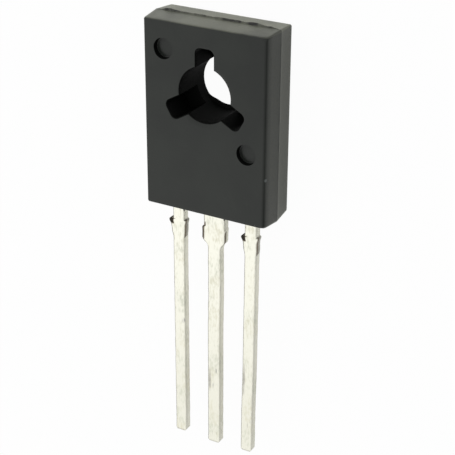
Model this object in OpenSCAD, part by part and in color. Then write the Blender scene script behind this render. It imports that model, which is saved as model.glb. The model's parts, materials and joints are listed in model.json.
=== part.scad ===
// Three-lead bipolar power transistor in a flat moulded body with a screw hole.
// It lies on its back: the metal face is down at z = 0 and the holed front is up.
// The origin is the centre of the screw hole on the back face, +Y runs towards the
// top end of the body and the leads run towards -Y. All sizes are in millimetres.

/* [Moulded body] */
// Width of the body at its parting line
body_w = 7.5; // [7.2:0.05:8]
// Length of the body from its lead end to its top end, at the parting line
body_len = 10.8; // [10.5:0.05:11.2]
// Thickness of the body from its back to its front
body_t = 2.7; // [2.55:0.05:3]
// Height of the parting line above the back
parting_z = 1.35; // [1.2:0.05:1.5]
// Draft of the four sides, in degrees, each way from the parting line
draft = 4; // [2:0.5:7]

/* [Screw hole] */
// Diameter of the resin-lined screw hole
hole_d = 3.1; // [2.9:0.05:3.3]
// Distance from the top end of the body to the centre of the hole
hole_from_top = 3.8; // [3.7:0.05:4.1]
// Width of each lobe of the recess around the hole
lobe_w = 1.1; // [0.9:0.05:1.3]
// Reach of each lobe from the centre of the hole
lobe_reach = 2.52; // [2.3:0.02:2.8]
// Radius of the lobes' outer corners
lobe_corner_r = 0.32; // [0.15:0.01:0.4]
// Resin left between the floor of the lobes and the plate
lobe_floor_t = 0.3; // [0.15:0.05:0.6]

/* [Ejector marks] */
// Diameter of the two round ejector marks in the front
mark_d = 1.15; // [1:0.05:1.3]
// Depth of the ejector marks
mark_depth = 0.3; // [0.1:0.05:0.4]
// Distance of each mark's centre from the nearer side of the body
mark_from_side = 1.25; // [1.1:0.05:1.4]
// Distance from the top end to the centre of the left mark
left_mark_from_top = 1.65; // [1.5:0.05:1.8]
// Distance from the top end to the centre of the right mark
right_mark_from_top = 6.65; // [6.5:0.05:7]

/* [Collector plate] */
// Thickness of the copper strip that the plate and the leads are stamped from
strip_t = 0.5; // [0.4:0.05:0.6]
// Width of the plate
plate_w = 5.6; // [5:0.1:6.2]
// Distance from the top end of the body to the plate
plate_from_top = 0.9; // [0.6:0.05:1.1]
// Distance from the lead end of the body to the plate
plate_from_end = 1.8; // [1.6:0.05:2]
// Corner radius of the plate
plate_corner_r = 0.4; // [0.2:0.05:0.8]
// Thickness of the resin lining between the screw hole and the plate
lining_t = 0.5; // [0.3:0.05:0.6]
// Width of the step around the plate's back, which locks it in the resin
lock_w = 0.15; // [0.1:0.01:0.25]
// Height of that step
lock_h = 0.2; // [0.1:0.01:0.3]
// Angle of the strap that rises from the plate to the middle lead, in degrees
strap_angle = 55; // [50:1:75]

/* [Leads] */
// Distance between the centres of neighbouring leads
lead_pitch = 2.29; // [2.2:0.01:2.4]
// Height of the middle of the leads' thickness above the back
lead_z = 1.45; // [1.35:0.01:1.6]
// Length of the leads outside the body
lead_len = 15.4; // [14.5:0.1:16.6]
// Width of the outer leads
outer_w = 0.7; // [0.6:0.01:0.88]
// Width of the middle lead below its cut tie bar
middle_w = 0.78; // [0.66:0.01:0.9]
// Width of the middle lead between the body and its cut tie bar
middle_root_w = 1.3; // [1.1:0.05:1.4]
// Chamfer at the corners of the lead tips
tip_chamfer = 0.1; // [0.05:0.01:0.2]
// Distance from the body to the cut tie bar
tie_from_body = 1.15; // [1:0.05:1.3]
// Height of the cut tie bar along the lead
tie_h = 0.9; // [0.7:0.05:1.1]
// Length over which a lead narrows below the tie bar
tie_taper = 0.2; // [0.1:0.05:0.4]
// Stub of the tie bar left on the left edge of each lead
stub_left = 0.22; // [0.1:0.01:0.3]
// Stub of the tie bar left on the right edge of each lead
stub_right = 0.04; // [0.02:0.01:0.1]

/* [Inner pads] */
// Width of the bonding pad at the inner end of each outer lead
pad_w = 1.3; // [1.1:0.05:1.5]
// Length of the bonding pad
pad_len = 1.3; // [1:0.05:1.5]
// Resin between the bonding pad and the lead end of the body
pad_from_end = 0.65; // [0.5:0.05:0.8]

/* [Die] */
// Side of the square silicon die
die_w = 2; // [1.4:0.1:2.1]
// Thickness of the die
die_t = 0.25; // [0.2:0.01:0.3]
// Distance from the lead end of the plate to the die
die_from_end = 0.6; // [0.55:0.05:0.7]
// Thickness of the solder under the die
solder_t = 0.04; // [0.02:0.01:0.06]
// Rim of solder around the die
solder_rim = 0.1; // [0.05:0.01:0.15]

/* [Bond wires] */
// Diameter of the bond wires
wire_d = 0.2; // [0.1:0.01:0.25]
// Height of each wire's arc above its chord
wire_rise = 0.55; // [0.45:0.05:0.65]
// Distance of each wire's foot on the die from the die's middle, sideways
foot_side = 0.45; // [0.3:0.05:0.6]
// Diameter of the round foot at each end of a wire
foot_d = 0.4; // [0.35:0.01:0.5]
// Height of the round foot at each end of a wire
foot_h = 0.22; // [0.2:0.01:0.28]

/* [Resin flash] */
// Width of the sliver of resin at the root of a lead
flash_w = 0.26; // [0.15:0.01:0.35]
// Length of the sliver below the body
flash_len = 0.6; // [0.3:0.05:0.8]
// Thickness of the sliver in front of the lead
flash_t = 0.1; // [0.05:0.01:0.15]

/* [Hidden] */
$fn = 64;
eps = 0.5;

top_y = hole_from_top;
end_y = top_y - body_len;
front_inset = (body_t - parting_z) * tan(draft);
back_inset = parting_z * tan(draft);

hole_r = hole_d / 2;
lobe_floor_z = strip_t + lobe_floor_t;
lobe_angles = [90, 210, 330];

plate_top_y = top_y - plate_from_top;
plate_end_y = end_y + plate_from_end;
plate_hole_r = hole_r + lining_t;

lead_back_z = lead_z - strip_t / 2;
lead_front_z = lead_z + strip_t / 2;
tip_y = end_y - lead_len;
tie_top_y = end_y - tie_from_body;
tie_end_y = tie_top_y - tie_h;

strap_run = lead_back_z / tan(strap_angle);
strap_mitre = strip_t * tan(strap_angle / 2);
strap_top_y = plate_end_y - strap_run;

pad_end_y = end_y + pad_from_end;
pad_y = pad_end_y + pad_len / 2;

die_y = plate_end_y + die_from_end + die_w / 2;
die_back_z = strip_t + solder_t;
die_front_z = die_back_z + die_t;

// A wire's ends lie at the middle height of its feet, in a vertical plane whose first
// axis runs level from the foot on the die to the foot on the pad
wire_start_z = die_front_z + foot_h / 2;
wire_end_z = lead_front_z + foot_h / 2;
wire_dx = lead_pitch - foot_side;
wire_dy = die_y - pad_y;
wire_run = sqrt(wire_dx ^ 2 + wire_dy ^ 2);
wire_climb = wire_end_z - wire_start_z;
wire_chord = sqrt(wire_run ^ 2 + wire_climb ^ 2);
wire_r = (wire_chord ^ 2 / 4 + wire_rise ^ 2) / (2 * wire_rise);
wire_heading = atan2(wire_dy, wire_dx);
// Centre of the arc: from the middle of the chord, down along the chord's normal
wire_cu = wire_run / 2 + (wire_r - wire_rise) * wire_climb / wire_chord;
wire_cz = wire_start_z + wire_climb / 2 - (wire_r - wire_rise) * wire_run / wire_chord;
wire_a0 = atan2(wire_end_z - wire_cz, wire_run - wire_cu);
wire_a1 = atan2(wire_start_z - wire_cz, -wire_cu);

// Rectangle with true round corners, w wide, from y0 up to y1
module round_rect(w, y0, y1, r) {
    translate([-w / 2, y0 + r]) square([w, y1 - y0 - 2 * r]);
    translate([-w / 2 + r, y0]) square([w - 2 * r, y1 - y0]);
    for (x = [-w / 2 + r, w / 2 - r], y = [y0 + r, y1 - r]) translate([x, y]) circle(r);
}

// Section of the body between two of its sides, with draft each way from the parting line
module drafted_section(low, high) {
    polygon([
        [low + back_inset, 0], [high - back_inset, 0], [high, parting_z],
        [high - front_inset, body_t], [low + front_inset, body_t], [low, parting_z]
    ]);
}

module body_block() {
    intersection() {
        translate([0, top_y + eps, 0]) rotate([90, 0, 0])
            linear_extrude(body_len + 2 * eps) drafted_section(-body_w / 2, body_w / 2);
        translate([-body_w / 2 - eps, 0, 0]) rotate([90, 0, 90])
            linear_extrude(body_w + 2 * eps) drafted_section(end_y, top_y);
    }
}

// One lobe of the recess: a bar from the hole's centre with two round outer corners
module lobe_outline() {
    translate([0, -lobe_w / 2]) square([lobe_reach - lobe_corner_r, lobe_w]);
    translate([0, -lobe_w / 2 + lobe_corner_r]) square([lobe_reach, lobe_w - 2 * lobe_corner_r]);
    for (s = [-1, 1])
        translate([lobe_reach - lobe_corner_r, s * (lobe_w / 2 - lobe_corner_r)]) circle(lobe_corner_r);
}

module screw_hole() {
    translate([0, 0, -eps]) cylinder(h = body_t + 2 * eps, r = hole_r);
    for (a = lobe_angles) rotate([0, 0, a]) translate([0, 0, lobe_floor_z])
        linear_extrude(body_t - lobe_floor_z + eps) lobe_outline();
}

module ejector_marks() {
    side = body_w / 2 - mark_from_side;
    for (p = [[-side, top_y - left_mark_from_top], [side, top_y - right_mark_from_top]])
        translate([p[0], p[1], body_t - mark_depth]) cylinder(h = mark_depth + eps, d = mark_d);
}

// Sliver of resin that runs down the right front corner of a lead, pointed at its end
module flash(edge_x) {
    translate([edge_x, end_y, lead_z])
        linear_extrude(strip_t / 2 + flash_t)
            polygon([
                [-flash_w / 2, eps], [flash_w / 2, eps],
                [flash_w / 2, 0], [0, -flash_len], [-flash_w / 2, 0]
            ]);
}

// One edge of a lead from y = from_y down to its tip, on side s, -1 left or 1 right
function lead_edge(s, root_w, low_w, from_y, stub) = [
    [s * root_w / 2, from_y],
    [s * root_w / 2, tie_top_y],
    [s * (root_w / 2 + stub), tie_top_y],
    [s * (root_w / 2 + stub / 2), tie_end_y],
    [s * low_w / 2, tie_end_y - tie_taper],
    [s * low_w / 2, tip_y + tip_chamfer],
    [s * (low_w / 2 - tip_chamfer), tip_y]
];

function reversed(points) = [for (i = [len(points) - 1:-1:0]) points[i]];

module lead_outline(root_w, low_w, from_y) {
    polygon(concat(
        lead_edge(-1, root_w, low_w, from_y, stub_left),
        reversed(lead_edge(1, root_w, low_w, from_y, stub_right))
    ));
}

// An outer lead with its bonding pad, centred on x
module outer_lead(x) {
    translate([x, 0, lead_back_z]) linear_extrude(strip_t) {
        lead_outline(outer_w, outer_w, pad_y);
        translate([-pad_w / 2, pad_end_y]) square([pad_w, pad_len]);
    }
}

module plate() {
    difference() {
        union() {
            translate([0, 0, lock_h]) linear_extrude(strip_t - lock_h)
                round_rect(plate_w, plate_end_y, plate_top_y, plate_corner_r);
            linear_extrude(lock_h) round_rect(
                plate_w - 2 * lock_w, plate_end_y + lock_w, plate_top_y - lock_w, plate_corner_r
            );
        }
        translate([0, 0, -eps]) cylinder(h = strip_t + 2 * eps, r = plate_hole_r);
    }
}

// Strap that rises from the plate to the height of the leads, bent from the same strip
module strap() {
    foot_y = plate_end_y + lock_w + plate_corner_r;
    translate([-middle_root_w / 2, 0, 0]) rotate([90, 0, 90]) linear_extrude(middle_root_w)
        polygon([
            [foot_y, 0], [plate_end_y, 0], [strap_top_y, lead_back_z], [end_y, lead_back_z],
            [end_y, lead_front_z], [strap_top_y + strap_mitre, lead_front_z],
            [plate_end_y + strap_mitre, strip_t], [foot_y, strip_t]
        ]);
}

module plate_and_lead() {
    plate();
    strap();
    translate([0, 0, lead_back_z]) linear_extrude(strip_t)
        lead_outline(middle_root_w, middle_w, strap_top_y);
}

module die() {
    translate([-die_w / 2, die_y - die_w / 2, die_back_z]) cube([die_w, die_w, die_t]);
}

module solder() {
    side = die_w + 2 * solder_rim;
    translate([-side / 2, die_y - side / 2, strip_t]) cube([side, side, solder_t]);
}

// A wire with its two feet, to the right pad for s = 1 and to the left pad for s = -1
module wire(s) {
    translate([s * foot_side, die_y, die_front_z]) cylinder(h = foot_h, d = foot_d);
    translate([s * lead_pitch, pad_y, lead_front_z]) cylinder(h = foot_h, d = foot_d);
    translate([s * foot_side, die_y, 0])
        rotate([0, 0, s > 0 ? -wire_heading : wire_heading - 180])
            rotate([90, 0, 0]) translate([wire_cu, wire_cz, 0]) rotate([0, 0, wire_a0])
                rotate_extrude(angle = wire_a1 - wire_a0) translate([wire_r, 0]) circle(d = wire_d);
}

module moulded_body() {
    color("#3a3c3b") difference() {
        union() {
            body_block();
            flash(-lead_pitch + outer_w / 2);
            flash(middle_root_w / 2);
        }
        screw_hole();
        ejector_marks();
        plate_and_lead();
        for (s = [-1, 1]) {
            outer_lead(s * lead_pitch);
            wire(s);
        }
        die();
        solder();
    }
}

module collector_plate() {
    color("#dcdacb") plate_and_lead();
}

module emitter_lead() {
    color("#dcdacb") outer_lead(-lead_pitch);
}

module base_lead() {
    color("#dcdacb") outer_lead(lead_pitch);
}

module silicon_die() {
    color("#5b6068") die();
}

module die_solder() {
    color("#a9a9a6") solder();
}

module emitter_wire() {
    color("#cfd0d0") wire(-1);
}

module base_wire() {
    color("#cfd0d0") wire(1);
}

moulded_body();
collector_plate();
emitter_lead();
base_lead();
silicon_die();
die_solder();
emitter_wire();
base_wire();
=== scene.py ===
"""Looks of a three-lead power transistor that lies on its back.

The frame is that of the solids, in metres: the origin is the centre of the screw hole on the
back face, +Y runs to the top end of the body, the leads run towards -Y and +Z points out of
the holed front. Shapes are worked out in millimetres and put into their meshes in metres.
"""
import json
import math

import bpy
import numpy as np
from mathutils import Matrix, Vector


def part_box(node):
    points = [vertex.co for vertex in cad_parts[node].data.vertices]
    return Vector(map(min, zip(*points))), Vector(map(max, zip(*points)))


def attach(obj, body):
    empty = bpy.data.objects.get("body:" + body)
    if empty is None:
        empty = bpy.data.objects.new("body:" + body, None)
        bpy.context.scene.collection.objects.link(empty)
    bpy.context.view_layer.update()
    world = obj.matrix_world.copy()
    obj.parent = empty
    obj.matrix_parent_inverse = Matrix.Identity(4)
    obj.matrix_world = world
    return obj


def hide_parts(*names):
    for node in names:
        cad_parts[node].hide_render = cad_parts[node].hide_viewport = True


MM = 0.001
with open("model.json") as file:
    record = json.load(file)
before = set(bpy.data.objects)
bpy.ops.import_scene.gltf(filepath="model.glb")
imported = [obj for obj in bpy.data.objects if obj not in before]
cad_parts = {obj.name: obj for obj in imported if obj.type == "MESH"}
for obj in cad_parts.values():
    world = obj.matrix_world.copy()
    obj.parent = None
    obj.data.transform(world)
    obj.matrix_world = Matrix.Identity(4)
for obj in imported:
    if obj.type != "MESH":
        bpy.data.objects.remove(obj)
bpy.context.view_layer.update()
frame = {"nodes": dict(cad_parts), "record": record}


def node_box(name):
    """Lowest and highest corner of a node of the frame, in millimetres."""
    low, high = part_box(name)
    return np.array(low) / MM, np.array(high) / MM


# ---------------------------------------------------------------- sizes, in millimetres
BODY_HIGH = node_box("moulded_body")[1]
LEAD_LOW, LEAD_HIGH = node_box("emitter_lead")
PLATE_HIGH = node_box("collector_plate")[1]
SCREW_HOLE = next(m for m in frame["record"]["mounts"] if m["name"] == "mounting_hole")

BODY_T = BODY_HIGH[2]
HALF_W = BODY_HIGH[0]
TOP_Y = BODY_HIGH[1]
BODY_LEN = 10.8
END_Y = TOP_Y - BODY_LEN
PARTING_Z = BODY_T / 2
SLOPE = math.tan(math.radians(4.0))
UPRIGHT_CORNER = 0.1
FRONT_ROUND = 0.045
RIGHT_ROUND = 0.18
BACK_ROUND = 0.05
RIM_ROUND = 0.035
FIN = 0.03
SEAM_STEP = 0.002
SECTION_STEP = 0.18

HOLE_R = SCREW_HOLE["dims"]["r_mm"]
LOBE_HALF = 0.55
LOBE_REACH = 2.52
LOBE_CORNER = 0.32
LOBE_TURNS = (90.0, 210.0, 330.0)
LOBE_FLOOR_Z = 0.8

# Thin web in the bore towards -Y: its depth, then half its spread and its fade in degrees.
WEB_DEPTH = 0.21
WEB_SPREAD = 58
WEB_FADE = 32

MARKS = ((-2.5, 2.15), (2.5, -2.85))
MARK_R = 0.575
MARK_DEPTH = 0.3

# Columns on each side of a mark's middle, and how far apart they are at it.
MARK_COLUMNS = 21
MARK_STEP = 0.04

STRIP_T = 0.5
PLATE_HALF = PLATE_HIGH[0]
PLATE_TOP = PLATE_HIGH[1]
PLATE_END = END_Y + 1.8
PLATE_CORNER = 0.4
PLATE_HOLE_R = 2.05
LOCK_W = 0.15
LOCK_H = 0.2

LEAD_Z = (LEAD_LOW[2] + LEAD_HIGH[2]) / 2
TIP_Y = LEAD_LOW[1]
PITCH = 2.29
TIE_TOP = END_Y - 1.15
TIE_END = TIE_TOP - 0.9
OUTER_HALF = 0.35
MIDDLE_HALF = 0.39
ROOT_HALF = 0.65
PAD_HALF = 0.65
UNEVEN_CUT = 0.1

# Scored lines: middle and half length along Y.
PLATE_SCORE = (-18.1, 0.9)
BASE_SCORE = (-17.4, 1.3)

# Stubs of the cut tie bar: left at its top, left held below that, right.
EMITTER_STUBS = (0.27, 0.10, 0.10)
BASE_STUBS = (0.25, 0.09, 0.10)
PLATE_STUBS = (0.12, 0.10, 0.04)

# Thicker spots of the flash at the top end: x, width, height.
FLASH_SPOTS = ((-2.82, 0.36, 0.07), (0.75, 0.5, 0.03), (2.05, 0.36, 0.08), (2.8, 0.4, 0.02))

# Pale spot on the right front edge.
PALE_SPOT = (3.64, -4.1, 2.6)


# ---------------------------------------------------------------- meshes from grids
def closed_quads(rows, columns, wrap_rows):
    """Corner numbers of the quads of a grid whose columns close on themselves."""
    last = rows if wrap_rows else rows - 1
    r, c = np.meshgrid(np.arange(last), np.arange(columns), indexing="ij")
    r2, c2 = (r + 1) % rows, (c + 1) % columns
    quads = np.stack([r * columns + c, r * columns + c2, r2 * columns + c2, r2 * columns + c], -1)
    return quads.reshape(-1, 4)


def volume(points, faces):
    """Signed volume: the sum over triangles of a corner dotted with the cross of the other two."""
    total = 0.0
    for i in range(1, faces.shape[1] - 1):
        a, b, c = points[faces[:, 0]], points[faces[:, i]], points[faces[:, i + 1]]
        total += np.einsum("ij,ij->i", a, np.cross(b, c)).sum()
    return total


class Shells:
    """Gathers closed shells, each a grid of points, and makes one mesh object of them."""

    def __init__(self):
        self.points = []
        self.faces = []
        self.marks = []
        self.kinds = []
        self.count = 0

    def add(self, grid, wrap_rows=True, marks=None, kinds=None):
        """One shell: rows by columns by 3. Open rows are closed with a flat cap at each end.

        marks holds a number for each point, and kinds the number of each quad's finish.
        """
        rows, columns, _ = grid.shape
        points = grid.reshape(-1, 3)
        quads = closed_quads(rows, columns, wrap_rows)
        first = np.arange(columns)
        caps = [] if wrap_rows else [first[::-1], first + (rows - 1) * columns]
        size = volume(points, quads) + sum(volume(points, cap[None, :]) for cap in caps)
        if size < 0:
            quads = quads[:, ::-1]
            caps = [cap[::-1] for cap in caps]
        self.points.append(points)
        self.faces += (quads + self.count).tolist() + [(cap + self.count).tolist() for cap in caps]
        self.marks.append(np.zeros(len(points)) if marks is None else marks.reshape(-1))
        self.kinds += [0] * (len(quads) + len(caps)) if kinds is None else kinds.reshape(-1).tolist()
        self.count += len(points)

    def make(self, name, nodes, materials, sharp=35.0):
        """The finished piece: smooth, with edges sharper than the angle kept, riding on the body."""
        mesh = bpy.data.meshes.new(name)
        mesh.from_pydata(np.concatenate(self.points) * MM, [], self.faces)
        mesh.update()
        mesh.shade_smooth()
        mesh.set_sharp_from_angle(angle=math.radians(sharp))
        # A number per point: wear, and painted shade and reflection on the leads and along the flash.
        worn = mesh.attributes.new("worn", "FLOAT", "POINT")
        worn.data.foreach_set("value", np.concatenate(self.marks).astype(np.float32))
        for material in materials:
            mesh.materials.append(material)
        mesh.polygons.foreach_set("material_index", np.array(self.kinds, np.int32))
        piece = bpy.data.objects.new(name, mesh)
        bpy.context.scene.collection.objects.link(piece)
        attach(piece, "root")
        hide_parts(*nodes)
        return piece


def waves(where, seed, step, count=7):
    """Gentle seeded unevenness from -1 to 1: a mean of sines whose lengths spread about step."""
    draw = np.random.default_rng(seed)
    total = np.zeros_like(where)
    for _ in range(count):
        length = step * draw.uniform(0.6, 1.9)
        total += np.sin(2 * math.pi * (where / length + draw.uniform()))
    return total / math.sqrt(count * 2)


# ---------------------------------------------------------------- outlines about the hole
def star_reach(turn, grow):
    """Reach of the recess's edge from the hole's axis at each turn.

    It is the larger of the bore's radius and, for each lobe, the distance at which a line from
    the axis leaves a bar with two round outer corners; the whole outline is grown evenly.
    """
    reach = np.full_like(turn, HOLE_R + grow)
    half, end = LOBE_HALF + grow, LOBE_REACH + grow
    corner = LOBE_CORNER + grow
    for lobe in LOBE_TURNS:
        off = np.abs((turn - math.radians(lobe) + math.pi) % (2 * math.pi) - math.pi)
        c, s = np.cos(off), np.maximum(np.sin(off), 1e-9)
        ahead = c > 0.2
        bar = np.minimum(end / np.maximum(c, 0.2), half / s)
        cx, cy = end - corner, half - corner
        along = c * cx + s * cy
        inside = corner**2 - (cx * s - cy * c) ** 2
        arc = along + np.sqrt(np.maximum(inside, 0.0))
        at_corner = (bar * c > cx) & (bar * s > cy) & (inside > 0)
        bar = np.where(at_corner, arc, bar)
        reach = np.where(ahead, np.maximum(reach, bar), reach)
    return reach


def block_reach(turn, half, low, high, corner):
    """Reach of a rectangle with round corners from the hole's axis.

    The rectangle lies between -half and half in x, and low and high in y. The reach is the
    nearer of its side and its end, or the corner's arc where the line leaves through it.
    """
    c, s = np.cos(turn), np.sin(turn)
    ac, up = np.maximum(np.abs(c), 1e-9), s > 0
    end = np.where(up, high, -low)
    reach = np.minimum(half / ac, end / np.maximum(np.abs(s), 1e-9))
    cx, cy = half - corner, end - corner
    a_s = np.abs(s)
    along = ac * cx + a_s * cy
    inside = corner**2 - (cx * a_s - cy * ac) ** 2
    arc = along + np.sqrt(np.maximum(inside, 0.0))
    at_corner = (reach * ac > cx) & (reach * a_s > cy) & (inside > 0)
    return np.where(at_corner, arc, reach)


def body_reach(turn, draft, rounding=0.0):
    """Reach of the body's outline, set in by the draft and the rounding on every side."""
    inset = draft + rounding
    return block_reach(turn, HALF_W - inset, END_Y + inset, TOP_Y - inset, UPRIGHT_CORNER)


def edge_round(turn):
    """Radius of the front edge's rounding, larger along the right side."""
    x = body_reach(turn, 0.0) * np.cos(turn)
    return FRONT_ROUND + (RIGHT_ROUND - FRONT_ROUND) * np.clip((x - HALF_W + 0.35) / 0.3, 0, 1)


def body_turns():
    """Turns about the hole at which the body's section is taken.

    Points spaced evenly along the outline, with closer ones at the lobes, at the body's four
    corners and across the two ejector marks.
    """
    side = np.arange(-HALF_W, HALF_W, SECTION_STEP)
    length = np.arange(END_Y, TOP_Y, SECTION_STEP)
    x = np.concatenate([side, side, np.full_like(length, HALF_W), np.full_like(length, -HALF_W)])
    y = np.concatenate([np.full_like(side, TOP_Y), np.full_like(side, END_Y), length, length])
    turns = [np.arctan2(y, x)]
    for lobe in LOBE_TURNS:
        half = np.radians(np.concatenate([
            np.linspace(0, 8.5, 8), np.linspace(9, 13.5, 14), np.linspace(14, 19.5, 10),
            np.linspace(19.8, 22.4, 11),
        ]))
        turns += [math.radians(lobe) + half, math.radians(lobe) - half]
    for cx in (-HALF_W, HALF_W):
        for cy in (END_Y, TOP_Y):
            turns.append(math.atan2(cy, cx) + np.radians(np.linspace(-2.2, 2.2, 15)))
    every = np.concatenate(turns) % (2 * math.pi)
    for mx, my in MARKS:
        middle = math.atan2(my, mx) % (2 * math.pi)
        step = MARK_STEP / math.hypot(mx, my)
        every = every[np.abs(every - middle) > (MARK_COLUMNS + 0.6) * step]
        every = np.concatenate([every, middle + step * np.arange(-MARK_COLUMNS, MARK_COLUMNS + 1)])
    every = np.sort(every)
    keep = np.concatenate([[True], np.diff(every) > math.radians(0.12)])
    return every[keep]


def flash_height(x, y):
    """How far the thin flash stands out along the parting line.

    It is a little uneven all round. At the top end it is higher and wavy, and a bell curve is
    added at each thicker spot.
    """
    along = np.where(np.abs(x) > HALF_W - 0.2, y + 20 * np.sign(x), x)
    height = 0.003 + 0.002 * waves(along, 3, 1.1)
    top = (y > TOP_Y - 0.3) * np.clip((HALF_W - 0.15 - np.abs(x)) / 0.5, 0, 1)
    height = height + top * (0.080 + 0.022 * waves(x, 5, 0.9) + 0.010 * waves(x, 6, 0.3))
    for spot, width, rise in FLASH_SPOTS:
        height = height + rise * top * np.exp(-((x - spot) / width) ** 2)
    return np.maximum(height, 0.001)


def moulding_grid():
    """The moulded body as one closed sheet: turns about the hole by stations round its section.

    The section starts at the recess's front rim and runs over the front, down the drafted side
    past the parting line, under the back, round the plate's pocket and up the bore to the rim.
    Also gives each quad's finish, finish 1 being the resin painted darker as shade on the rim, in the bore
    and lobes and on the mark walls, and how far each point along the thick flash is torn and painted
    shaded.
    """
    turn = body_turns()
    c, s = np.cos(turn), np.sin(turn)
    above_seam = (2.45, 2.2, 1.95, 1.7, 1.5)
    below_seam = (1.2, 0.95, 0.7, 0.45, 0.2)
    up_lobes = (1.1, 1.6, 2.1, 2.5)
    stations = []

    def add(reach, height):
        """One more station: that reach and height at every turn."""
        z = np.broadcast_to(np.asarray(height, float), turn.shape)
        stations.append(np.stack([reach * c, reach * s, z], -1))

    edge = edge_round(turn)
    for a in np.radians([0, 30, 60, 90]):
        add(star_reach(turn, RIM_ROUND * (1 - math.cos(a))), BODY_T - RIM_ROUND * (1 - math.sin(a)))

    front_inset = (BODY_T - PARTING_Z) * SLOPE
    inner = star_reach(turn, RIM_ROUND)
    outer = body_reach(turn, front_inset, edge)
    shares = np.concatenate([
        np.linspace(0, 0.28, 6)[1:], np.linspace(0.295, 0.81, 40), np.linspace(0.85, 0.985, 4),
    ])
    front = len(stations)
    for share in shares:
        add(inner + share * (outer - inner), BODY_T)
    for a in np.radians([0, 22.5, 45, 67.5, 90]):
        add(body_reach(turn, front_inset, edge * (1 - math.sin(a))), BODY_T - edge * (1 - math.cos(a)))
    for z in above_seam:
        add(body_reach(turn, (z - PARTING_Z) * SLOPE), z)
    seam = body_reach(turn, 0.0)
    proud = flash_height(seam * c, seam * s)
    torn_and_shaded = len(stations)
    add(seam, PARTING_Z + FIN + 0.4 * np.maximum(proud - 0.05, 0.0))
    add(seam + proud, PARTING_Z + FIN * 0.6)
    add(seam + proud, PARTING_Z - FIN * 0.2)
    add(body_reach(turn, SEAM_STEP), PARTING_Z - FIN)
    for z in below_seam:
        add(body_reach(turn, (PARTING_Z - z) * SLOPE + SEAM_STEP), z)
    back_inset = PARTING_Z * SLOPE + SEAM_STEP
    for a in np.radians([0, 30, 60, 90]):
        rounding = BACK_ROUND * (1 - math.cos(a))
        add(body_reach(turn, back_inset, rounding), BACK_ROUND * (1 - math.sin(a)))

    def plate_reach(inset):
        """Reach of the plate's outline, set in by the inset."""
        return block_reach(turn, PLATE_HALF - inset, PLATE_END + inset, PLATE_TOP - inset, PLATE_CORNER)

    outer = body_reach(turn, back_inset, BACK_ROUND)
    lip = plate_reach(LOCK_W)
    for share in (0.35, 0.7, 1.0):
        add(outer + share * (lip - outer), 0.0)
    add(lip, LOCK_H)
    add(plate_reach(0.0), LOCK_H)
    add(plate_reach(0.0), STRIP_T)
    ring = np.full_like(turn, PLATE_HOLE_R)
    add(ring, STRIP_T)
    add(ring, 0.0)
    for a in np.radians([90, 45, 0]):
        add(np.full_like(turn, HOLE_R + BACK_ROUND * (1 - math.cos(a))), BACK_ROUND * (1 - math.sin(a)))
    bore = len(stations) - 1
    t = np.clip((WEB_SPREAD - np.abs(np.degrees(turn) - 270)) / WEB_FADE, 0, 1)
    web = HOLE_R - WEB_DEPTH * t * t * (3 - 2 * t)
    add(web, 0.07)
    add(web, 0.15)
    for z in (0.2, 0.5):
        add(np.full_like(turn, HOLE_R), z)
    wall = star_reach(turn, 0.0)
    lobe = np.clip((wall - HOLE_R) / 0.05, 0, 1)
    add(np.full_like(turn, HOLE_R), LOBE_FLOOR_Z)
    for share in (0.5, 1.0):
        add(HOLE_R + share * (wall - HOLE_R), LOBE_FLOOR_Z + 0.06 * share * (1 - lobe))
    for z in up_lobes:
        add(wall, z)
    grid = np.stack(stations)
    kinds = np.zeros(grid.shape[:2], int)
    # Finish 1 is the resin painted darker, as shade: on the recess rim, and up the bore and lobes.
    kinds[:3] = 1
    kinds[bore:] = 1
    marks = np.zeros(grid.shape[:2])
    # A dark line painted along the flash's front: the broken edge and a painted shadow of the flash.
    marks[torn_and_shaded] = np.clip((proud - 0.07) / 0.04, 0, 1)
    marks[torn_and_shaded + 1] = 0.7 * marks[torn_and_shaded]
    press_marks(grid, kinds, front)
    return grid, kinds, marks


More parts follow.
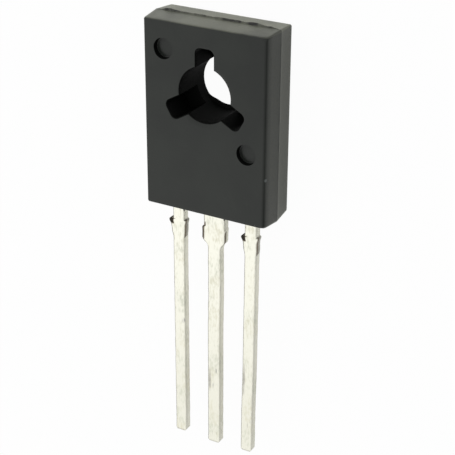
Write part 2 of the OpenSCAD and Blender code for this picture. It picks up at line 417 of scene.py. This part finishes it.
def press_marks(grid, kinds, front):
    """Presses the two ejector marks into the front, in place, and gives their walls finish 1.

    Round a mark the grid's square rings become circles. The point u rows and v columns from
    the middle lies on ring k = max(|u|, |v|), at the turn pi/4 v/u on the sides where |u| is
    the larger and pi/2 - pi/4 u/v on the others, and half a turn more on the far sides. The
    inner rings make floor, wall and rim; the outer ones blend into the front's own points.
    """
    floor, rim, block = 8, 13, 19
    radius = np.concatenate([
        (MARK_R - 0.03) * np.arange(floor + 1) / floor,
        MARK_R + np.array([-0.012, -0.003, 0.0, 0.003, 0.02]),
        MARK_R + 0.02 + 0.02 * np.arange(1, block - rim + 1),
    ])
    depth = np.zeros(block + 1)
    depth[:rim] = np.concatenate([np.ones(floor + 1), [0.97, 0.85, 0.03, 0.0]])
    share = np.clip((block - np.arange(block + 1)) / (block - rim), 0, 1)
    step = np.arange(-block, block + 1)
    u, v = np.meshgrid(step, step, indexing="ij")
    ring = np.maximum(np.abs(u), np.abs(v))
    wide = np.abs(u) >= np.abs(v)
    near = np.pi / 4 * v / np.where(u == 0, 1, u) + np.pi * (u < 0)
    far = np.pi / 2 - np.pi / 4 * u / np.where(v == 0, 1, v) + np.pi * (v < 0)
    turn = np.where(wide, near, far)
    for mx, my in MARKS:
        gap = np.hypot(grid[front:, :, 0] - mx, grid[front:, :, 1] - my)
        gap = gap + 9 * (grid[front:, :, 2] < BODY_T - 1e-6)
        row, column = np.unravel_index(np.argmin(gap), gap.shape)
        rows, columns = front + row + step, column + step
        spot = grid[rows[:, None], columns[None, :]]
        out = np.array([mx, my]) / math.hypot(mx, my)
        r = radius[ring] + 0.006 * np.sin(2 * turn + mx) + 0.004 * np.sin(3 * turn + my)
        x = mx + r * (np.cos(turn) * out[0] - np.sin(turn) * out[1])
        y = my + r * (np.cos(turn) * out[1] + np.sin(turn) * out[0])
        circle = np.stack([x, y, np.full_like(x, BODY_T)], -1)
        spot = spot + (circle - spot) * share[ring][..., None]
        spot[..., 2] -= MARK_DEPTH * depth[ring]
        grid[rows[:, None], columns[None, :]] = spot
        outer = np.maximum(
            np.maximum(ring[:-1, :-1], ring[1:, :-1]), np.maximum(ring[:-1, 1:], ring[1:, 1:]),
        )
        # The mark walls take finish 1, the resin painted darker as shade.
        wall = (outer > floor) & (outer < rim)
        kinds[rows[:-1, None], columns[None, :-1]] = wall


# ---------------------------------------------------------------- strips and leads
def strip_section(round_right, round_back, round_left):
    """Columns round a strip's section: share across, share through, and set-back in x and z.

    The front left and right corners and both back corners are quarter rounds.
    """
    columns = []
    quarter = np.radians([0, 30, 60, 90])
    across = [0.06, 0.12, 0.18, 0.23, 0.3, 0.5, 0.7, 0.88]
    for a in quarter:
        columns.append((1, 1, -round_right * (1 - math.sin(a)), -round_right * (1 - math.cos(a))))
    for b in (0.8, 0.6, 0.4, 0.2):
        columns.append((1, b, 0, 0))
    for a in quarter:
        columns.append((1, 0, -round_back * (1 - math.cos(a)), round_back * (1 - math.sin(a))))
    for a in reversed(across):
        columns.append((a, 0, 0, 0))
    for a in quarter:
        columns.append((0, 0, round_back * (1 - math.sin(a)), round_back * (1 - math.cos(a))))
    for b in (0.2, 0.4, 0.6, 0.8):
        columns.append((0, b, 0, 0))
    for a in quarter:
        columns.append((0, 1, round_left * (1 - math.cos(a)), -round_left * (1 - math.sin(a))))
    for a in across:
        columns.append((a, 1, 0, 0))
    return np.array(columns, float)


def lead_rows(root, low, tip, stub_left, stub_held, stub_right):
    """Rows down a lead outside the body: y, then how far it reaches to the left and to the right.

    Below the body it keeps its root width. At the cut tie bar a stub stands out on each side:
    the left one falls from stub_left to stub_held and then to nothing, the right one at once.
    """
    rows = [(END_Y + 0.3, root, root), (END_Y - 0.3, root, root), (END_Y - 0.8, root, root)]
    fall = (
        (0.04, 0.0, 0.0), (0.0, 0.6, 0.75), (-0.04, 0.95, 1.0), (-0.1, 1.0, 0.9),
        (-0.17, 0.9, 0.72), (-0.25, 0.6, 0.5), (-0.34, 0.3, 0.35), (-0.5, 0.1, 0.3), (-0.7, 0.0, 0.3),
    )
    for drop, left, right in fall:
        held = stub_held * min(1.0, max(0.0, (0.04 - drop) / 0.2))
        on_left = root + held + (stub_left - held) * left
        rows.append((TIE_TOP + drop, on_left, root + stub_right * right))
    narrow = (
        (-0.82, 0.85, 0.9), (-0.92, 0.55, 0.62), (-1.02, 0.25, 0.3), (-1.12, 0.07, 0.1), (-1.25, 0.0, 0.0),
    )
    for drop, left, right in narrow:
        on_left = low + (root + stub_held - low) * left
        rows.append((TIE_TOP + drop, on_left, low + (root + 0.3 * stub_right - low) * right))
    rows += [(y, low, low) for y in np.linspace(TIE_TOP - 1.5, tip + 0.35, 90)]
    rows += [(tip + 0.1, low, low), (tip + 0.05, low - 0.03, low - 0.03), (tip, low - 0.08, low - 0.08)]
    return rows


def pad_rows():
    """Rows of an outer lead inside the body: its bonding pad, then its neck."""
    end = END_Y + 0.65
    pad = [(y, PAD_HALF, PAD_HALF) for y in (end + 1.3, end + 0.65, end)]
    return pad + [(end - 0.01, OUTER_HALF, OUTER_HALF)]


def strap_line():
    """Middle line of the strap from the plate up to the leads' height: y, z and slope.

    The slope grows from level to 55 degrees and back as two smooth bends of length 0.5 with a
    straight part between them, whose length makes up the rest of the climb.
    """
    steep, length, steps = math.radians(55), 0.5, 8
    climb = LEAD_Z - STRIP_T / 2
    t = np.linspace(0, 1, steps + 1)
    bend = steep * t * t * (3 - 2 * t)
    straight = (climb - 2 * length * np.sin(bend).mean()) / math.sin(steep)
    slope = np.concatenate([[0.0], bend, bend[::-1]])
    short = np.full(steps, length / steps)
    step = np.concatenate([[0.6], short, [straight], short])
    mean = (slope[1:] + slope[:-1]) / 2
    y = PLATE_END + 0.75 - np.concatenate([[0.0], np.cumsum(step * np.cos(mean))])
    z = np.concatenate([[0.0], np.cumsum(step * np.sin(mean))])
    z = STRIP_T / 2 + z * climb / z[-1]
    return y, z, slope


def lead_wear_and_shade(y, section, outside, strap):
    """How far each point of a lead is marked: 0 where the tin is sound, above 1 where it is black; the
    marks hold both wear and painted shade.

    Outside the body the front left edge is greyed as a painted dark reflection, the sides are
    painted darker towards the front as shade, and the tip is dull. Where the tie bar was cut,
    the sides are brown, more so towards the front. The torn corner there is painted nearly
    black, partly torn metal and partly a dark reflection of the body above it: the left side
    and the front's left quarter on an outer lead, and the front's left edge on the middle one.
    """
    a, b, ox, oz = section.T
    side = ((a > 0.99) | (a < 0.01)) & (b > (0.5 if strap else 0.15)) & (b < 0.99)
    edge = (b > 0.99) & (a < 0.01) & (np.abs(ox) + np.abs(oz) > 1e-6)
    cut = (y < TIE_TOP + (-0.15 if strap else 0.02)) & (y > TIE_END - 0.15)
    # Painted shade: the sides are darker towards the front.
    shade = 0.18 * (side & (b > 0.7)) + 0.05 * (side & (b > 0.5) & (b < 0.7))
    browned = np.interp(b, (0.3, 0.5, 0.7, 0.9), (0.3, 0.45, 0.95, 1.12))
    # The front left edge is greyed as a painted dark reflection.
    marks = np.maximum(0.45 * edge, shade)[None, :] * outside[:, None]
    marks = np.maximum(marks, cut[:, None] * side * browned)
    marks = np.maximum(marks, 1.35 * (cut & (y < TIE_TOP - 0.1))[:, None] * edge)
    marks = np.maximum(marks, 0.22 * (y < y[-1] + 0.07)[:, None])
    # The torn corner is painted nearly black: torn metal and a dark reflection of the body above it.
    if strap:
        torn_and_shaded = (y < TIE_TOP + 0.05) & (y > TIE_END + 0.2)
        return np.maximum(marks, 1.25 * torn_and_shaded[:, None] * (b > 0.99) * (a < 0.07))
    torn_and_shaded = (y < TIE_TOP + 0.02) & (y > TIE_TOP - 0.3)
    return np.maximum(marks, 1.6 * torn_and_shaded[:, None] * (a < 0.24) * (b > 0.3))


def score_wear(y, section, score, seed):
    """Wear of a scored line along a lead's front: a bell curve across it that fades to both ends.

    score gives the line's middle and half length along Y.
    """
    a, b, _, _ = section.T
    fade = np.clip(1 - ((y - score[0]) / score[1]) ** 2, 0, 1)
    fade = fade * (0.75 + 0.25 * waves(y, seed, 0.5))
    line = (b > 0.99) * np.exp(-((a - 0.17) / 0.09) ** 2)
    return 0.48 * fade[:, None] * line


def lead_grid(x, rows, lean, seed, score, strap=False):
    """A lead as a profile carried along its line, with its edges and faces a little uneven.

    Each row sets the section's two sides; the middle line leans more and more below the tie
    bar. With a strap, the line first climbs from the plate, a little slimmer where it lies
    within it. Also gives how far each point is marked by wear and by painted shade.
    """
    section = strip_section(0.02, 0.03, 0.06)
    y = np.array([r[0] for r in rows])
    left = np.array([r[1] for r in rows])
    right = np.array([r[2] for r in rows])
    z = np.full_like(y, LEAD_Z)
    slope = np.zeros_like(y)
    if strap:
        sy, sz, turned = strap_line()
        y = np.concatenate([sy, y])
        z = np.concatenate([sz, z])
        slope = np.concatenate([turned, slope])
        left = np.concatenate([np.full_like(sy, left[0]), left])
        right = np.concatenate([np.full_like(sy, right[0]), right])
    below = np.clip((TIE_END - y) / (TIE_END - TIP_Y), 0, 1)
    sway = lean * below**1.3 + 0.012 * waves(y, seed, 6.0) * np.clip(below * 8, 0, 1)
    outside = np.clip((END_Y - y) * 4, 0, 1)
    left = left + 0.008 * waves(y, seed + 1, 0.9) * outside
    right = right + 0.008 * waves(y, seed + 2, 0.9) * outside
    a, b, ox, oz = section.T
    across = x + sway[:, None] - left[:, None] + (left + right)[:, None] * a + ox
    slim = 1 - 0.08 * np.clip((y - PLATE_END + 0.6) / 0.3, 0, 1) * strap
    bowed = 0.006 * (waves(y, seed + 3, 7.0) * outside)
    through = (STRIP_T * (b - 0.5) + oz) * slim[:, None] + bowed[:, None]
    py = y[:, None] + through * np.sin(slope)[:, None]
    pz = z[:, None] + through * np.cos(slope)[:, None]
    marks = lead_wear_and_shade(y, section, outside, strap)
    if score:
        marks = np.maximum(marks, score_wear(y, section, score, seed + 5))
    return np.stack([across, py, pz], -1), marks


def plate_grid():
    """The plate as one closed sheet: turns about the hole by stations round its section.

    The section runs up the hole, over the front to the round-cornered outline, down to the
    locking step, in over the step and under the back to the hole.
    """
    turns = [np.linspace(0, 2 * math.pi, 160, endpoint=False)]
    for x in (-PLATE_HALF, PLATE_HALF):
        for y in (PLATE_END, PLATE_TOP):
            turns.append(math.atan2(y, x) + np.linspace(-0.16, 0.16, 16))
    turn = np.sort(np.concatenate(turns) % (2 * math.pi))
    c, s = np.cos(turn), np.sin(turn)

    def outline(inset):
        """Reach of the plate's outline, set in by the inset."""
        return block_reach(turn, PLATE_HALF - inset, PLATE_END + inset, PLATE_TOP - inset, PLATE_CORNER)

    ring = np.full_like(turn, PLATE_HOLE_R)
    full, back, soft = outline(0.0), outline(LOCK_W), 0.03
    section = [
        (ring, soft), (ring, STRIP_T), ((ring + full) / 2, STRIP_T), (full, STRIP_T), (full, LOCK_H),
        (back, LOCK_H), (back, soft), (back - soft, 0.0), ((ring + back) / 2, 0.0), (ring + soft, 0.0),
    ]
    return np.stack([np.stack([r * c, r * s, np.full_like(turn, z)], -1) for r, z in section])


def resin_sliver(x, seed):
    """A thin sliver of resin down a lead's front corner: a flat blade that narrows to a point."""
    t = np.linspace(0, 1, 9)
    turn = np.linspace(0, 2 * math.pi, 12, endpoint=False)
    y = END_Y + 0.2 - 0.76 * t
    half = 0.13 * np.sqrt(np.maximum(1 - t, 0.0)) + 0.006
    thick = 0.13 * (1 - 0.7 * t)
    px = x + 0.02 * waves(y, seed, 0.5)[:, None] + half[:, None] * np.cos(turn)
    pz = 1.66 + thick[:, None] * np.sin(turn)
    return np.stack([px, np.broadcast_to(y[:, None], px.shape), pz], -1)


# ---------------------------------------------------------------- finishes
class Wire:
    """A shader socket that takes part in sums as a number does; each sum adds its Math node."""

    def __init__(self, finish, socket):
        self.finish = finish
        self.socket = socket

    def sum(self, operation, *terms):
        """A Math node of that operation on the terms."""
        return self.finish.node("ShaderNodeMath", {"operation": operation}, dict(enumerate(terms)))

    def __add__(self, other):
        return self.sum("ADD", self, other)

    __radd__ = __add__

    def __sub__(self, other):
        return self.sum("SUBTRACT", self, other)

    def __rsub__(self, other):
        return self.sum("SUBTRACT", other, self)

    def __mul__(self, other):
        return self.sum("MULTIPLY", self, other)

    __rmul__ = __mul__

    def beside(self, name):
        """Another output of the same node."""
        return Wire(self.finish, self.socket.node.outputs[name])

    def rise(self, low, high):
        """0 below low, 1 above high, and a smooth step between."""
        return self.finish.node(
            "ShaderNodeMapRange", {"interpolation_type": "SMOOTHSTEP"},
            {"Value": self, "From Min": low, "From Max": high},
        )


class Finish:
    """A node tree under construction, of a material or of the world."""

    def __init__(self, owner):
        owner.use_nodes = True
        self.owner = owner
        self.tree = owner.node_tree
        self.tree.nodes.clear()

    def node(self, kind, settings=None, values=None, out=0):
        """A node of that kind, with its settings made first and then its sockets set or linked."""
        made = self.tree.nodes.new(kind)
        for key, setting in (settings or {}).items():
            setattr(made, key, setting)
        for key, value in (values or {}).items():
            if isinstance(value, Wire):
                self.tree.links.new(value.socket, made.inputs[key])
            else:
                made.inputs[key].default_value = value
        return Wire(self, made.outputs[out]) if len(made.outputs) else None

    def place(self, scale=(1, 1, 1)):
        """Millimetres on the piece, stretched by scale."""
        spot = self.node("ShaderNodeTexCoord", out="Object")
        return self.node("ShaderNodeMapping", {}, {"Vector": spot, "Scale": [s / MM for s in scale]})

    def noise(self, size, detail=2.0, place=None, harsh=0.5):
        """Cloudy unevenness of that size in millimetres, from 0 to 1."""
        return self.node(
            "ShaderNodeTexNoise", {},
            {"Vector": place or self.place(), "Scale": 1 / size, "Detail": detail, "Roughness": harsh},
        )

    def mix(self, share, low, high):
        """Colour that goes from low to high as share goes from 0 to 1."""
        return self.node("ShaderNodeMix", {"data_type": "RGBA"}, {0: share, 6: low, 7: high}, out=2)

    def measure(self, operation, first, second):
        """One number from two vectors: their distance, or their dot product."""
        values = {0: first, 1: second}
        return self.node("ShaderNodeVectorMath", {"operation": operation}, values, out="Value")

    def bump(self, height, depth, strength=1.0):
        """Normals of a height map, depth millimetres from 0 to 1."""
        values = {"Height": height, "Distance": depth * MM, "Strength": strength}
        return self.node("ShaderNodeBump", {}, values)

    def surface(self, values):
        """Ends the material with the standard surface."""
        shader = self.node("ShaderNodeBsdfPrincipled", {}, values)
        self.node("ShaderNodeOutputMaterial", {}, {"Surface": shader})
        return self.owner


def colour(*rgb):
    """An opaque colour of those shares of red, green and blue."""
    return (*rgb, 1.0)


def new_finish(name):
    """The empty node tree of a new material."""
    return Finish(bpy.data.materials.new(name))


def resin_finish():
    """Dark grey epoxy, satin from the mould: cloudy tone and a fine matt grain.

    The top end is painted pale, partly dust and partly a painted highlight of the light on that
    end, and paler still on its rear half as a painted reflection. The rear half's sides have
    scuffed streaks, lighter there also as a painted reflection, and along the broken edge of
    the flash a dark line is painted in places, partly the broken edge and partly a painted
    shadow of the flash.
    """
    f = new_finish("moulding_resin")
    spot = f.place()
    cloud = f.noise(2.2, 3.0)
    fine = f.noise(0.12, 2.0)
    streak = f.noise(0.5, 4.0, f.place((0.8, 0.6, 2.2)))
    split = f.node("ShaderNodeSeparateXYZ", {}, {0: spot})
    height = split.beside("Z")
    behind = (1.0 - height.rise(PARTING_Z - 0.45, PARTING_Z)) * height.rise(0.0, 0.1)
    shade = f.mix(cloud.rise(0.3, 0.7), colour(0.010, 0.0125, 0.0105), colour(0.014, 0.0170, 0.0140))
    # Painted highlight and dust: the top end is paler, and paler still on the rear half as a painted
    # reflection.
    end = split.beside("Y").rise(TOP_Y - 0.16, TOP_Y - 0.12)
    front_half = height.rise(PARTING_Z - 0.2, PARTING_Z + 0.1)
    dust_and_highlight = f.mix(front_half, colour(0.135, 0.138, 0.100), colour(0.100, 0.104, 0.080))
    dusty_and_lit = f.mix(end * cloud.rise(0.2, 0.7), shade, dust_and_highlight)
    # Scuffed streaks on the rear half's sides, lighter there also as a painted reflection.
    scuff_and_light = 0.65 * streak.rise(0.25, 0.85) * behind * (1.0 - end)
    scuffed_and_lit = f.mix(scuff_and_light, dusty_and_lit, colour(0.030, 0.033, 0.025))
    # A dark line along the flash: the broken edge and a painted shadow of the flash.
    worn = f.node("ShaderNodeAttribute", {"attribute_name": "worn"}, out="Fac")
    torn_and_shaded = worn.rise(0.1, 0.9) * f.noise(0.3, 3.0).rise(0.3, 0.6)
    edged = f.mix(torn_and_shaded, scuffed_and_lit, colour(0.003, 0.003, 0.002))
    # A pale spot on the right front edge.
    pale_spot_distance = f.measure("DISTANCE", spot, PALE_SPOT)
    pale_spotted = f.mix(1.0 - pale_spot_distance.rise(0.05, 0.12), edged, colour(0.09, 0.10, 0.10))
    return f.surface({
        "Base Color": pale_spotted,
        "Roughness": 0.27 + 0.05 * cloud + 0.08 * (streak - 0.4) * behind,
        "IOR": 1.40,
        "Sheen Weight": 0.50,
        "Sheen Roughness": 0.35,
        "Sheen Tint": colour(0.97, 1.0, 0.82),
        "Normal": f.bump(fine, 0.003),
    })


def shaded_core_finish():
    """The same epoxy where core pins shaped it: matt, and painted darker than the outside as shade."""
    f = new_finish("moulding_resin_cored")
    cloud = f.noise(0.8, 2.0)
    return f.surface({
        "Base Color": f.mix(cloud, colour(0.003, 0.0035, 0.003), colour(0.005, 0.0055, 0.005)),
        "Roughness": 0.50 + 0.08 * cloud,
        "IOR": 1.15,
        "Normal": f.bump(f.noise(0.1, 2.0), 0.002),
    })


def tin_finish():
    """Tinned copper strip: pale and clouded grey and cream, with fine scratches along it.

    It darkens towards the tips as painted shade, is greyed where a little wear or painted shade lies on
    the sides and the left edge, brown where it was sheared, and nearly black where torn, which is partly a
    painted dark reflection.
    """
    f = new_finish("tinned_copper")
    spot = f.place()
    cloud = f.noise(0.9, 4.0, f.place((1.3, 0.5, 1.0)))
    speck = f.noise(0.13, 3.0, f.place((1.3, 0.45, 1.2)))
    dull = (cloud * 0.45 + speck * 0.55).rise(0.45, 0.68)
    split = f.node("ShaderNodeSeparateXYZ", {}, {0: spot})
    height = split.beside("Y")
    # Painted shade: the tin is darker towards the tips.
    fresh_shaded_to_tips = f.mix(height.rise(TIP_Y, END_Y), colour(0.79, 0.78, 0.68), colour(0.94, 0.93, 0.82))
    grey = f.mix(f.noise(1.6, 2.0).rise(0.4, 0.6), colour(0.75, 0.73, 0.59), colour(0.69, 0.70, 0.59))
    pale = f.mix(dull, fresh_shaded_to_tips, grey)
    streak = f.noise(0.11, 1.0, f.place((1.0, 0.1, 1.0)))
    scratch = streak.rise(0.66, 0.74) * f.noise(1.1, 1.0, f.place((1.0, 0.6, 1.0))).rise(0.55, 0.65)
    scored = f.mix(scratch, pale, colour(0.42, 0.42, 0.38))
    worn = f.node("ShaderNodeAttribute", {"attribute_name": "worn"}, out="Fac")
    # Grey where the mark is low: light wear and scored lines, and painted shade on the sides and the front
    # left edge.
    rubbed_and_shaded = f.mix(worn.rise(0.0, 0.4), scored, colour(0.40, 0.39, 0.35))
    ragged = worn + 0.3 * (f.noise(0.15, 2.0) - 0.5)
    cut = f.mix(f.noise(0.2, 2.0), colour(0.17, 0.13, 0.09), colour(0.30, 0.25, 0.18))
    sheared = ragged.rise(0.5, 0.8)
    browned = f.mix(sheared, rubbed_and_shaded, cut)
    # Nearly black where the mark passes 1.05: torn metal and a painted dark reflection of the body.
    return f.surface({
        "Base Color": f.mix(worn.rise(1.05, 1.3), browned, colour(0.03, 0.026, 0.02)),
        "Metallic": 1.0 - 0.25 * sheared,
        "Roughness": 0.32 + 0.12 * dull + 0.2 * sheared,
        "Normal": f.bump(speck * 0.6 + cloud * 0.4, 0.004),
    })


def plain_finish(name, low, high, size, metal, rough):
    """A finish of two close tones in clouds of that size."""
    f = new_finish(name)
    cloud = f.noise(size, 3.0)
    return f.surface({
        "Base Color": f.mix(cloud, low, high),
        "Metallic": metal,
        "Roughness": rough + 0.1 * cloud,
        "Normal": f.bump(f.noise(size / 4, 2.0), 0.004),
    })


# ---------------------------------------------------------------- room, light and camera
def floor_finish():
    """White floor: a matt surface that takes shadows, lifted towards plain white for the camera.

    A gloss sees it a little lifted too.
    """
    f = new_finish("floor_white")
    path = f.node("ShaderNodeLightPath")
    camera = path.beside("Is Camera Ray")
    glossy = path.beside("Is Glossy Ray")
    through = path.beside("Is Transmission Ray")
    share = camera * 0.96 + through * 0.96 + glossy * 0.22
    matt = f.node("ShaderNodeBsdfDiffuse", {}, {"Color": colour(0.88, 0.88, 0.87)})
    white = f.node("ShaderNodeEmission", {}, {"Color": colour(1, 1, 1), "Strength": 1.0})
    shader = f.node("ShaderNodeMixShader", {}, {0: share, 1: matt, 2: white})
    f.node("ShaderNodeOutputMaterial", {}, {"Surface": shader})
    return f.owner


def room():
    """Pale light all round that falls off smoothly towards the right.

    The camera sees plain white, and a gloss seen low over the floor meets a pale backdrop.
    """
    world = bpy.data.worlds.new("room")
    bpy.context.scene.world = world
    f = Finish(world)
    path = f.node("ShaderNodeLightPath")
    camera = path.beside("Is Camera Ray")
    glossy = path.beside("Is Glossy Ray")
    through = path.beside("Is Transmission Ray")
    way = f.node("ShaderNodeTexCoord", out="Generated")

    right = f.measure("DOT_PRODUCT", way, (0.87, -0.49, 0.0)).rise(0.2, 0.95)
    low = 1.0 - f.measure("DOT_PRODUCT", way, (0.0, 0.0, 1.0)).rise(0.15, 0.45)
    light = f.node("ShaderNodeBackground", {}, {"Color": colour(1, 1, 1), "Strength": 0.84 - 0.60 * right})
    white = f.node("ShaderNodeBackground", {}, {"Color": colour(1, 1, 1), "Strength": 1.0})
    share = camera + through + glossy * low * 0.6
    shader = f.node("ShaderNodeMixShader", {}, {0: share, 1: light, 2: white})
    f.node("ShaderNodeOutputWorld", {}, {"Surface": shader})


def floor():
    """A wide flat floor just under the part."""
    half, z = 2.0, -0.00001
    mesh = bpy.data.meshes.new("floor")
    corners = [(-half, -half, z), (half, -half, z), (half, half, z), (-half, half, z)]
    mesh.from_pydata(corners, [], [(0, 1, 2, 3)])
    mesh.materials.append(floor_finish())
    made = bpy.data.objects.new("floor", mesh)
    bpy.context.scene.collection.objects.link(made)


def softbox(name, toward, distance, side, level):
    """A square lamp that faces the body from that direction.

    Its face is as bright as level, so its power is level times pi times its area.
    """
    lamp = bpy.data.lights.new(name, "AREA")
    lamp.shape = "SQUARE"
    lamp.size = side
    lamp.energy = level * math.pi * side * side
    made = bpy.data.objects.new(name, lamp)
    made.visible_camera = False
    way = Vector(toward).normalized()
    aim = Vector((0, -0.006, 0.001))
    made.location = aim + way * distance
    made.rotation_mode = "QUATERNION"
    made.rotation_quaternion = way.to_track_quat("Z", "Y")
    bpy.context.scene.collection.objects.link(made)


def camera():
    """A long lens that looks at a point on the leads' side of the hole.

    The way back to the camera is (cos e sin a, sin e, cos e cos a), for its turn a to the right
    of straight on and its height e towards the top end; it rolls by a third of a degree.
    """
    a, e, roll = math.radians(28.97), math.radians(26.04), math.radians(0.33)
    back = Vector((math.cos(e) * math.sin(a), math.sin(e), math.cos(e) * math.cos(a)))
    right = Vector((0, 1, 0)).cross(back).normalized()
    up = back.cross(right)
    turned = right * math.cos(roll) + up * math.sin(roll)
    lifted = up * math.cos(roll) - right * math.sin(roll)
    data = bpy.data.cameras.new("camera")
    data.lens = 105.85
    data.sensor_width = 36.0
    data.clip_start = 0.002
    data.clip_end = 10.0
    made = bpy.data.objects.new("camera", data)
    made.rotation_mode = "QUATERNION"
    made.rotation_quaternion = Matrix((turned, lifted, back)).transposed().to_quaternion()
    target, distance = Vector((0.647, -8.10, 1.30)), 74.22
    made.location = target * MM + back * distance * MM
    bpy.context.scene.collection.objects.link(made)
    bpy.context.scene.camera = made


# ---------------------------------------------------------------- the pieces
def dress():
    """Makes the pieces that are seen, and gives the solids inside the body their finishes."""
    resin, tin = resin_finish(), tin_finish()
    body = Shells()
    grid, kinds, marks = moulding_grid()
    body.add(grid, marks=marks, kinds=kinds)
    body.add(resin_sliver(-PITCH + OUTER_HALF, 31), wrap_rows=False)
    body.add(resin_sliver(ROOT_HALF, 32), wrap_rows=False)
    body.make("body_moulding", ["moulded_body"], [resin, shaded_core_finish()])

    for name, node, x, lean, seed, stubs, score in (
        ("emitter_strip", "emitter_lead", -PITCH, 0.03, 41, EMITTER_STUBS, None),
        ("base_strip", "base_lead", PITCH, -0.11, 51, BASE_STUBS, BASE_SCORE),
    ):
        lead = Shells()
        rows = pad_rows() + lead_rows(OUTER_HALF, OUTER_HALF, TIP_Y + UNEVEN_CUT, *stubs)
        grid, marks = lead_grid(x, rows, lean, seed, score)
        lead.add(grid, False, marks)
        lead.make(name, [node], [tin])

    middle = Shells()
    rows = lead_rows(ROOT_HALF, MIDDLE_HALF, TIP_Y, *PLATE_STUBS)
    grid, marks = lead_grid(0.0, rows, -0.01, 61, PLATE_SCORE, strap=True)
    middle.add(grid, False, marks)
    middle.add(plate_grid())
    middle.make("plate_strip", ["collector_plate"], [tin])

    silicon = plain_finish("silicon", colour(0.09, 0.10, 0.12), colour(0.14, 0.15, 0.17), 0.4, 0.3, 0.2)
    solder = plain_finish("solder", colour(0.5, 0.5, 0.49), colour(0.6, 0.6, 0.58), 0.3, 1.0, 0.35)
    wire = plain_finish("bond_wire", colour(0.75, 0.76, 0.77), colour(0.84, 0.85, 0.85), 0.2, 1.0, 0.25)
    for node, slot, material in (
        ("silicon_die", "silicon", silicon),
        ("die_solder", "solder", solder),
        ("emitter_wire", "bond_wire", wire),
        ("base_wire", "bond_wire", wire),
    ):
        piece = frame["nodes"][node]
        piece.data.materials.clear()
        piece.data.materials.append(material)


bpy.context.scene.view_settings.view_transform = "Standard"
camera()
room()
floor()
softbox("front_softbox", (-0.46, -0.72, 0.54), distance=0.20, side=0.18, level=0.32)
softbox("key_softbox", (-0.70, 0.48, 0.50), distance=0.20, side=0.26, level=0.5)
dress()
